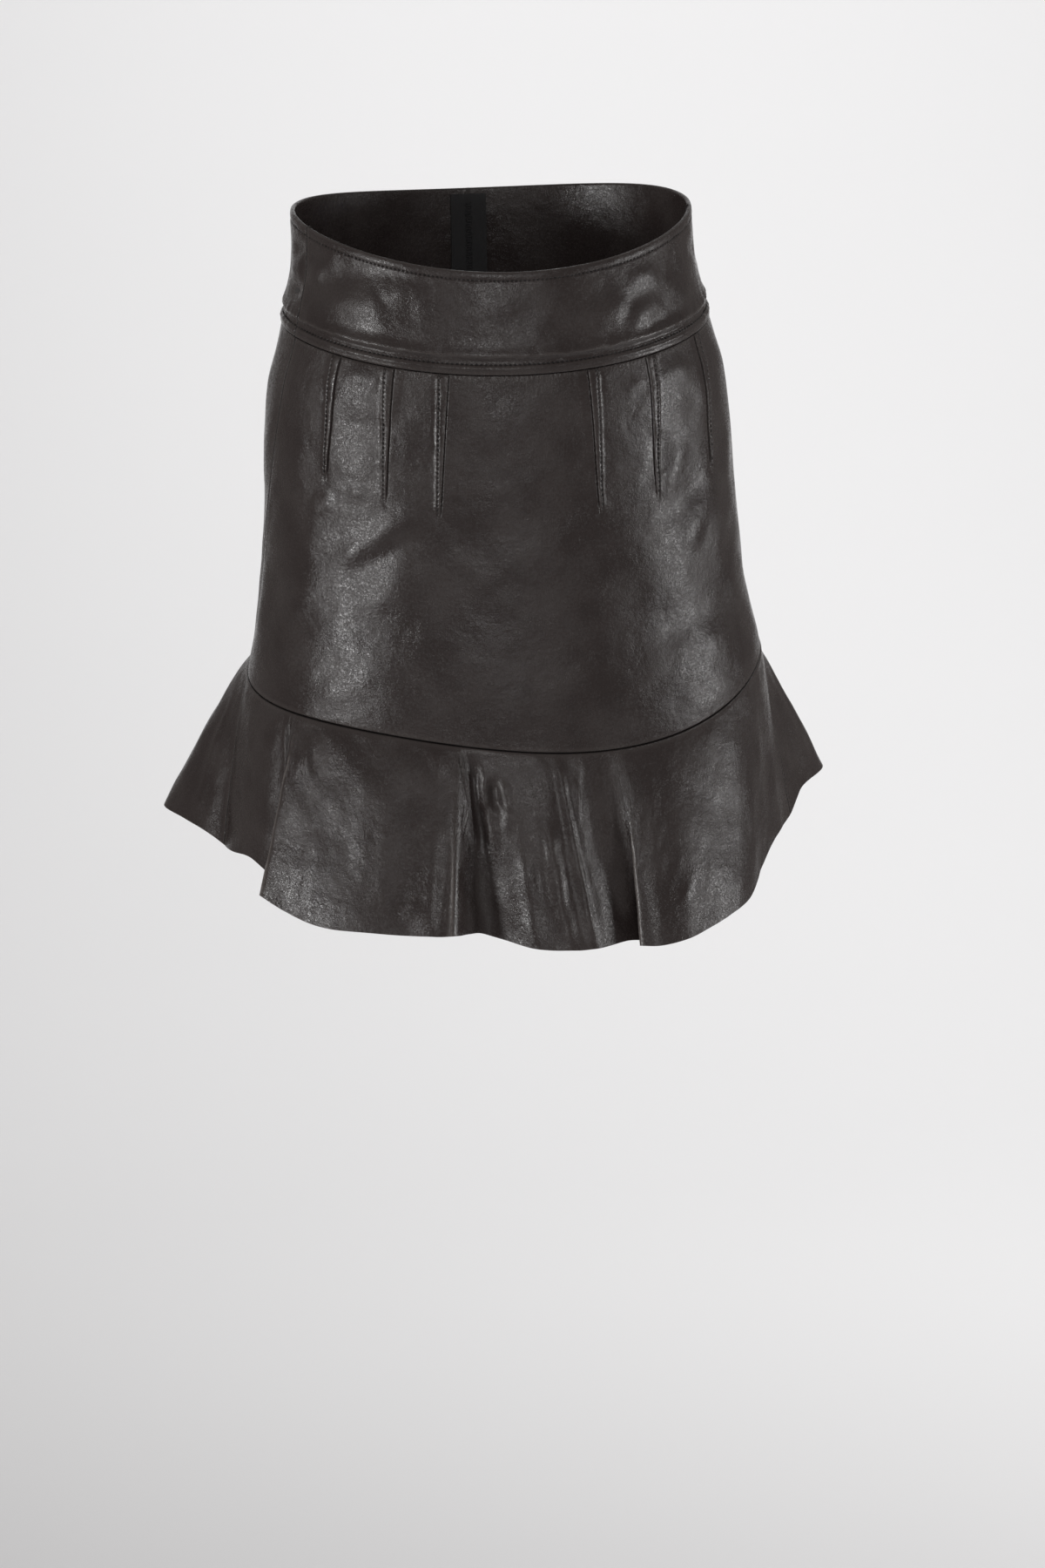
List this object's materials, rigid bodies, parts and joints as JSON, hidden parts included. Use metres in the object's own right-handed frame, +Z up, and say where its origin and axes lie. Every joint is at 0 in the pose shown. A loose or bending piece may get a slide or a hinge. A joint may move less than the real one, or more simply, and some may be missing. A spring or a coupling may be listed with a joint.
{
  "type": "leather mini skirt",
  "caption": "Short leather skirt as worn: shaped waistband dipping at the front, stitched darts, curved seam and a flared folded flounce, closed by a concealed centre-back zip.",
  "frame": {"origin": "middle of the waist ring, where the waistband is held", "axes": "+Z up the body, the front faces -Y, +X is the wearer's left side"},
  "size_m": [0.4398, 0.3231, 0.47],
  "materials": {
    "leather": "semi-gloss",
    "tape": "matte",
    "metal": "satin"
  },
  "bodies": {
    "skirt": {"waistband_front": "leather", "waistband_back_left": "leather", "waistband_back_right": "leather", "front_panel": "leather", "back_panel_left": "leather", "back_panel_right": "leather", "flounce_front": "leather", "flounce_back": "leather", "zip_tape": "tape", "zip_slider": "metal"},
    "pull": {"pull_tab": "metal"}
  },
  "joints": [
    {"name": "pull_tab_hinge", "type": "hinge", "parent": "skirt", "child": "pull", "pos_m": [0, 0.10612, 0.02412], "axis": [1, 0, 0], "range_deg": [0, 150]}
  ]
}
